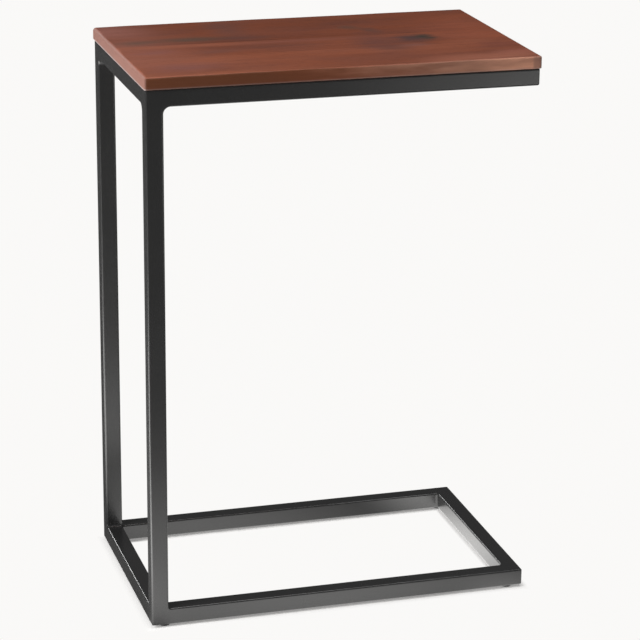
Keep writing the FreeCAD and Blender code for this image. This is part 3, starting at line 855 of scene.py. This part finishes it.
def screw_shell(about, seat, tip):
    """A pan head screw from the middle of its head, over the head's rim and up the thread to its point.

    The recess is a height field: two arms at right angles, deep in the middle and shallower along the arms.
    The thread's radius is the core plus a narrow ridge wherever height less turn falls on a whole pitch.
    """
    out = np.linspace(0.04, 1.0, 34)[:, None] * SCREW_HEAD + 0 * AROUND
    crown = SCREW_HEAD_HEIGHT * HEAD_CROWN * np.clip(out / SCREW_HEAD - 0.25, 0, 1) ** 3.2 / 0.75 ** 3.2
    x, y = np.abs(out * np.cos(AROUND)), np.abs(out * np.sin(AROUND))
    arms = np.zeros_like(x)
    for reach, beside in ((x, y), (y, x)):
        wall = smooth_steps((RECESS_WIDTH / 2 - beside) / (0.18 * MM) + 0.5)
        arms = np.maximum(arms, wall * smooth_steps((RECESS_ARM - reach) / (0.5 * MM)))
    head = seat - SCREW_HEAD_HEIGHT + crown + RECESS_DEPTH * arms * (1 - 0.35 * out / RECESS_ARM)
    corner = np.linspace(0, math.pi / 2, 5)[1:, None] + 0 * AROUND
    rim = SCREW_HEAD - HEAD_ARRIS * (1 - np.cos(corner))
    rim_height = seat - HEAD_ARRIS + HEAD_ARRIS * np.sin(corner)
    height = np.linspace(seat, tip, THREAD_ROWS)[:, None] + 0 * AROUND
    phase = ((height - seat) / SCREW_PITCH - AROUND / (2 * math.pi)) % 1.0
    ridge = np.clip(1 - np.abs(phase - 0.5) / 0.24, 0, 1) ** 1.2
    point = np.clip((tip - height) / POINT_LENGTH, 0.04, 1) ** 0.8
    started = smooth_steps((height - seat - 1.0 * MM) / (1.5 * MM))
    shank = point * (SCREW_CORE + (SCREW_THREAD - SCREW_CORE) * ridge * started)
    return turned_skin(np.concatenate([out, rim, shank]), np.concatenate([head, rim_height, height]), about)


def washer_shell(about, low, high):
    """A stamped washer: a rolled edge below, where the punch came in, and a sharper one above."""
    inset, rise = eased_edge(0.25 * MM)
    sharp, lift = eased_edge(0.08 * MM, 2)
    radius = np.concatenate([WASHER_RADIUS - inset, WASHER_RADIUS - sharp[::-1], WASHER_BORE + sharp,
                             WASHER_BORE + inset[::-1]])
    height = np.concatenate([low + rise, high - lift[::-1], high - lift, low + rise[::-1]])
    return turned_skin(radius, height, about, ring=True)


def zinc_plate():
    """Bright zinc over steel: a grey metal with cloudy shine, and a faint blue and straw tint in patches."""
    material, tree, shader, place = new_material("zinc_plated_steel")
    skin = shader_node(tree, "Group", {"Vector": place, "Bumps per metre": 3400.0, "Shine": 0.30,
                                       "Shine spread": 0.07, "Colour": ZINC_GREY, "Dust colour": ZINC_DUST,
                                       "Dust": 0.5}, node_tree=SKIN).outputs
    patches = noise(tree, place, 420.0, 2.0, 0.5, 5.0)
    tint = blend_colours(tree, fit_range(tree, patches, 0.35, 0.65), (0.97, 0.99, 1.04), (1.05, 1.0, 0.90))
    fill_inputs(tree, shader, {"Base Color": blend_colours(tree, 1.0, skin["Colour"], tint, "MULTIPLY"),
                               "Roughness": skin["Roughness"],
                               "Normal": raised(tree, skin["Height"], 0.008 * MM)})
    shader["Metallic"].default_value = 1.0
    return material


ZINC = zinc_plate()
screw_low, screw_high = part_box("top_screws")
washer_low, washer_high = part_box("top_screw_washers")
screw_spots = [Vector((x, y, 0)) for y in (screw_low.y + SCREW_HEAD, screw_high.y - SCREW_HEAD)
               for x in (screw_low.x + SCREW_HEAD, screw_high.x - SCREW_HEAD)]
add_piece("tab_screws", [screw_shell(spot, washer_low.z, screw_high.z) for spot in screw_spots], ZINC,
          ["top_screws"])
add_piece("tab_washers", [washer_shell(spot, washer_low.z, washer_high.z) for spot in screw_spots], ZINC,
          ["top_screw_washers"])

# ---------------------------------------------------------------- levelling feet
# Each foot is a moulded nylon sole on an M6 stud. The stud turns in a blind rivet nut, whose flange shows
# under the base ring and whose body is folded out behind the tube's wall.
SOLE = 6.0 * MM
SOLE_DISH = np.array([(0.6, 0.22), (2.6, 0.22), (3.6, 0.08), (4.2, 0.0)]) * MM  # its radii and heights
CUP_FLOOR = 0.8 * MM
NUT_BORE = 3.0 * MM
NUT_BODY = 4.5 * MM
NUT_FLANGE = 5.0 * MM
NUT_BULGE = 5.8 * MM
NUT_BULGE_HEIGHT = 2.6 * MM
NUT_ARRIS = 0.3 * MM
STUD_CREST = 2.95 * MM
STUD_CORE = 2.4 * MM
STUD_PITCH = 1.0 * MM
STUD_CHAMFER = 0.7 * MM
NYLON_BLACK = (0.020, 0.020, 0.021, 1.0)
NYLON_RUBBED = (0.11, 0.108, 0.10)
nut_low, nut_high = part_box("foot_rivet_nuts")
tube_inside = base_low.z + TUBE_WALL


def nut_shell(about):
    """A rivet nut, once round its section: flange, body, folded bulge, top and bore."""
    turn = np.linspace(0, math.pi, 12)
    bulge = NUT_BODY + (NUT_BULGE - NUT_BODY) * np.sin(turn)
    bulge_height = tube_inside + NUT_BULGE_HEIGHT * (1 - np.cos(turn)) / 2
    inset, rise = eased_edge(NUT_ARRIS)
    radius = np.concatenate([[NUT_BORE + NUT_ARRIS], NUT_FLANGE - inset, [NUT_FLANGE, NUT_BODY], bulge,
                             [NUT_BODY, NUT_BODY - NUT_ARRIS, NUT_BORE + NUT_ARRIS, NUT_BORE, NUT_BORE]])
    height = np.concatenate([[nut_low.z], nut_low.z + rise, [base_low.z, base_low.z], bulge_height,
                             [nut_high.z - NUT_ARRIS, nut_high.z, nut_high.z, nut_high.z - NUT_ARRIS,
                              nut_low.z + NUT_ARRIS]])
    return turned_skin(radius, height, about, ring=True)


def sole_shell(about, high):
    """The moulded sole: a dished underside, a rounded rim, and a cup that holds the stud's end."""
    inset, rise = eased_edge(0.5 * MM, 5)
    soft, lift = eased_edge(0.25 * MM)
    radius = np.concatenate([SOLE_DISH[:, 0], SOLE - inset, SOLE - soft[::-1],
                             [STUD_CREST, STUD_CREST, 0.3 * MM]])
    height = np.concatenate([SOLE_DISH[:, 1], rise, high - lift[::-1], [high, CUP_FLOOR, CUP_FLOOR]])
    return turned_skin(radius, height, about)


def stud_shell(about, low, high):
    """An M6 stud. Its radius is the core plus a blunt ridge that climbs one pitch with each turn."""
    height = np.linspace(low, high, THREAD_ROWS)[:, None] + 0 * AROUND
    phase = ((height - low) / STUD_PITCH - AROUND / (2 * math.pi)) % 1.0
    ridge = smooth_steps((0.44 - np.abs(phase - 0.5)) / 0.36)
    thread = STUD_CORE + (STUD_CREST - STUD_CORE) * ridge
    chamfer = STUD_CREST - np.clip(STUD_CHAMFER - (high - height), 0, 1)
    return turned_skin(np.minimum(thread, chamfer), height, about)


def black_nylon():
    """Moulded black nylon, finely eroded like its mould, with pale rub marks where it meets the floor."""
    material, tree, shader, place = new_material("black_nylon")
    skin = shader_node(tree, "Group", {"Vector": place, "Bumps per metre": 2600.0, "Shine": 0.48,
                                       "Shine spread": 0.06, "Colour": NYLON_BLACK, "Dust": 0.35},
                       node_tree=SKIN).outputs
    height = shader_node(tree, "SeparateXYZ", {0: place}).outputs["Z"]
    rubs = grain(tree, place, (700.0, 160.0, 160.0), 3.0, 0.6, 9.0)
    rubs_and_highlight = times(tree, fit_range(tree, height, 0.45 * MM, 0.0), fit_range(tree, rubs, 0.48, 0.66))
    rubs_and_highlight = times(tree, rubs_and_highlight, 0.6)
    fill_inputs(tree, shader, {"Base Color": blend_colours(tree, rubs_and_highlight, skin["Colour"], NYLON_RUBBED),
                               "Roughness": plus(tree, skin["Roughness"], times(tree, rubs_and_highlight, 0.4)),
                               "Normal": raised(tree, skin["Height"], 0.015 * MM)})
    return material


NYLON = black_nylon()
foot_spots = []
for side in ("front", "back"):
    for end in ("left", "right"):
        corner = f"{side}_{end}"
        pad_low, pad_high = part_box("foot_pad_" + corner)
        stud_low, stud_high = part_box("foot_stud_" + corner)
        spot = (pad_low + pad_high) / 2
        foot_spots.append(spot)
        add_piece("sole_" + corner, [sole_shell(spot, pad_high.z)], NYLON,
                  ["foot_pad_" + corner], "foot_" + corner)
        add_piece("stud_" + corner, [stud_shell(spot, stud_low.z, stud_high.z)], ZINC,
                  ["foot_stud_" + corner], "foot_" + corner)
add_piece("rivet_nuts", [nut_shell(spot) for spot in foot_spots], ZINC,
          ["foot_rivet_nuts"])

# ---------------------------------------------------------------- floor
# The table stands on a wide sweep of warm white paper. To the table the paper glows with painted light, set
# patch by patch, and the black coat mirrors it: bright beside and in front of the table, and dark behind its
# left end.
SWEEP_HALF = 40.0
SWEEP_WHITE = (0.955, 0.947, 0.935)
# Patches of painted glow on the sweep, as (middle, half length and half width, brightness), in metres.
GLOW_PATCHES = {
    "wide": ((0.1, -0.3), (2.2, 2.0), 0.12),
    "front": ((-0.20, -0.30), (0.50, 0.46), 0.95),
    "front_near": ((0.08, -0.165), (0.42, 0.10), 0.80),
    "front_right": ((1.5, -1.9), (1.1, 1.5), 2.5),
    "left": ((-0.80, 0.25), (0.60, 0.65), 4.4),
    "left_near": ((-0.42, -0.02), (0.30, 0.30), 1.1),
    "left_front": ((-0.50, -0.24), (0.37, 0.19), 4.8),
    "left_far": ((-1.45, -0.50), (0.80, 0.42), 2.6),
    "inside_left": ((-0.11, 0.08), (0.33, 0.15), 0.95),
    "inside_right": ((0.200, 0.01), (0.10, 0.22), 2.15),
    "behind": ((0.20, 0.50), (0.7, 0.5), 1.3),
}
PATCH_TINT = (1.0, 0.99, 0.975)
FAR_GLOW = 0.085  # the sweep's painted glow beyond the patches
DARK_FROM = (-0.2175, -0.13)  # the painted dark part starts at the front post
DARK_SLANT = 1.8
DARK_EDGES = (-0.05, 0.03)  # and comes in over this span
DARK_SIDES = (0.03, -0.005)
DARK_KEEP = 0.03
SHADOW_INSIDE = (-0.023, -0.018)  # the shadow's band, in from the base ring's edge
SHADOW_OUTSIDE = (0.009, -0.001)  # and out from it
SHADOW_SHARE = 0.9
PAPER_GLOW = 0.14


def sweep_paper():
    """The floor. To the camera it is white, with the table's own shadow close round the base ring.

    To the table it glows with painted light in place of lamp light: bright close by and at the left, and
    darker far away and behind at the left. From below it can be looked through.
    """
    material = bpy.data.materials.new("sweep_paper")
    material.use_nodes = True
    tree = material.node_tree
    tree.nodes.clear()
    place = tree.nodes.new("ShaderNodeTexCoord").outputs["Object"]
    split = shader_node(tree, "SeparateXYZ", {0: place}).outputs
    beside = minus(tree, math_node(tree, "ABSOLUTE", split["X"]), HALF_LENGTH)
    before = minus(tree, math_node(tree, "ABSOLUTE", split["Y"]), HALF_DEPTH)
    off_edge = math_node(tree, "MAXIMUM", beside, before)
    near = times(tree, fit_range(tree, off_edge, *SHADOW_INSIDE), fit_range(tree, off_edge, *SHADOW_OUTSIDE))
    lit = shader_node(tree, "BsdfDiffuse", {"Color": (*SWEEP_WHITE, 1)}).outputs[0]
    own = shader_node(tree, "Emission", {"Color": (*SWEEP_WHITE, 1), "Strength": PAPER_GLOW}).outputs[0]
    shade = shader_node(tree, "AddShader", {0: lit, 1: own}).outputs[0]
    white = shader_node(tree, "Emission", {"Color": (*SWEEP_WHITE, 1), "Strength": 1.0}).outputs[0]
    shadow = times(tree, near, SHADOW_SHARE)
    seen = shader_node(tree, "MixShader", {0: shadow, 1: white, 2: shade}).outputs[0]
    painted_glow = 0.0
    for middle, reach, strength in GLOW_PATCHES.values():
        painted_glow = plus(tree, painted_glow, times(tree, soft_spot(tree, place, middle, reach), strength))
    aside = minus(tree, split["X"], DARK_FROM[0])
    slanted = plus(tree, minus(tree, split["Y"], DARK_FROM[1]), times(tree, aside, DARK_SLANT))
    beyond = times(tree, fit_range(tree, slanted, *DARK_EDGES), fit_range(tree, aside, *DARK_SIDES))
    keep = fit_range(tree, beyond, 0.0, 1.0, 1.0, DARK_KEEP, smooth=False)
    painted_glow = plus(tree, times(tree, painted_glow, keep), FAR_GLOW)
    glow = shader_node(tree, "Emission", {"Color": (*PATCH_TINT, 1), "Strength": painted_glow}).outputs[0]
    to_camera = tree.nodes.new("ShaderNodeLightPath").outputs["Is Camera Ray"]
    above = shader_node(tree, "MixShader", {0: to_camera, 1: glow, 2: seen}).outputs[0]
    below = tree.nodes.new("ShaderNodeNewGeometry").outputs["Backfacing"]
    clear = tree.nodes.new("ShaderNodeBsdfTransparent").outputs[0]
    paper = shader_node(tree, "MixShader", {0: below, 1: above, 2: clear}).outputs[0]
    tree.links.new(paper, tree.nodes.new("ShaderNodeOutputMaterial").inputs["Surface"])
    return material


corners = [(x * SWEEP_HALF, y * SWEEP_HALF, 0) for x, y in ((-1, -1), (1, -1), (1, 1), (-1, 1))]
sweep_mesh = bpy.data.meshes.new("sweep")
sweep_mesh.from_pydata(corners, [], [(0, 1, 2, 3)])
sweep_mesh.materials.append(sweep_paper())
sweep = bpy.data.objects.new("sweep", sweep_mesh)
bpy.context.scene.collection.objects.link(sweep)
sweep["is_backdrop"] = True

# ---------------------------------------------------------------- lamps
# A large soft box at the left does most of the work and a second one hangs over the table. A card fills in
# from the front right, and a small strip far behind at the left draws the edges of the black tubes. The
# room gives little.
ROOM_LIGHT = 0.08
# Each lamp as (place, what it faces, size, watts, colour, whether lacquer and steel mirror it), in metres.
LAMPS = {
    "left_box": ((-2.0, -0.55, 1.15), (0.0, 0.0, 0.35), (1.2, 1.3), 58.0, (1.0, 1.0, 1.0), False),
    "overhead_box": ((0.15, -0.25, 2.2), (0.0, 0.0, 0.3), (1.4, 1.2), 17.5, (1.0, 1.0, 1.0), True),
    "front_card": ((1.25, -1.5, 0.75), (0.2, 0.0, 0.5), (0.9, 1.2), 6.0, (1.0, 0.98, 0.95), False),
    "edge_strip": ((-0.87, 3.1, 1.36), (-0.2, 0.0, 0.2), (0.5, 0.42), 11.0, (1.0, 1.0, 1.0), True),
}

world = bpy.data.worlds.new("studio")
bpy.context.scene.world = world
world.use_nodes = True
tree = world.node_tree
tree.nodes.clear()
room = shader_node(tree, "Background", {"Color": (1, 1, 1, 1), "Strength": ROOM_LIGHT}).outputs[0]
white = shader_node(tree, "Background", {"Color": (*SWEEP_WHITE, 1), "Strength": 1.0}).outputs[0]
to_camera = tree.nodes.new("ShaderNodeLightPath").outputs["Is Camera Ray"]
tree.links.new(shader_node(tree, "MixShader", {0: to_camera, 1: room, 2: white}).outputs[0],
               tree.nodes.new("ShaderNodeOutputWorld").inputs["Surface"])

for name, (place, aim, size, watts, colour, mirrors) in LAMPS.items():
    light = bpy.data.lights.new(name, "AREA")
    light.shape = "RECTANGLE"
    light.size, light.size_y = size
    light.energy = watts
    light.color = colour
    lamp = bpy.data.objects.new(name, light)
    lamp.matrix_world = (Vector(aim) - Vector(place)).to_track_quat("-Z", "Y").to_matrix().to_4x4()
    lamp.matrix_world.translation = Vector(place)
    lamp.visible_camera = False
    lamp.visible_glossy = mirrors
    bpy.context.scene.collection.objects.link(lamp)

# ---------------------------------------------------------------- camera
# It stands at the front left, a little above the top, and looks down on the table through a long lens.
CAMERA_PLACE = Vector((-0.7675, -2.6450, 1.2024))
CAMERA_YAW, CAMERA_PITCH, CAMERA_ROLL = math.radians(16.41), math.radians(18.15), math.radians(0.526)
CAMERA_LENS, CAMERA_SENSOR = 143.1, 36.0  # both in millimetres
ahead = math.cos(CAMERA_PITCH)
forward = Vector((math.sin(CAMERA_YAW) * ahead, math.cos(CAMERA_YAW) * ahead, -math.sin(CAMERA_PITCH)))
level = Vector((math.cos(CAMERA_YAW), -math.sin(CAMERA_YAW), 0))
upright = level.cross(forward)
right = level * math.cos(CAMERA_ROLL) + upright * math.sin(CAMERA_ROLL)
up = upright * math.cos(CAMERA_ROLL) - level * math.sin(CAMERA_ROLL)
camera_data = bpy.data.cameras.new("camera")
camera_data.sensor_width = CAMERA_SENSOR
camera_data.lens = CAMERA_LENS
camera = bpy.data.objects.new("camera", camera_data)
camera.matrix_world = Matrix((right, up, -forward)).transposed().to_4x4()
camera.matrix_world.translation = CAMERA_PLACE
bpy.context.scene.collection.objects.link(camera)
bpy.context.scene.camera = camera

bpy.context.scene.view_settings.view_transform = "Standard"
low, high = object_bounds()
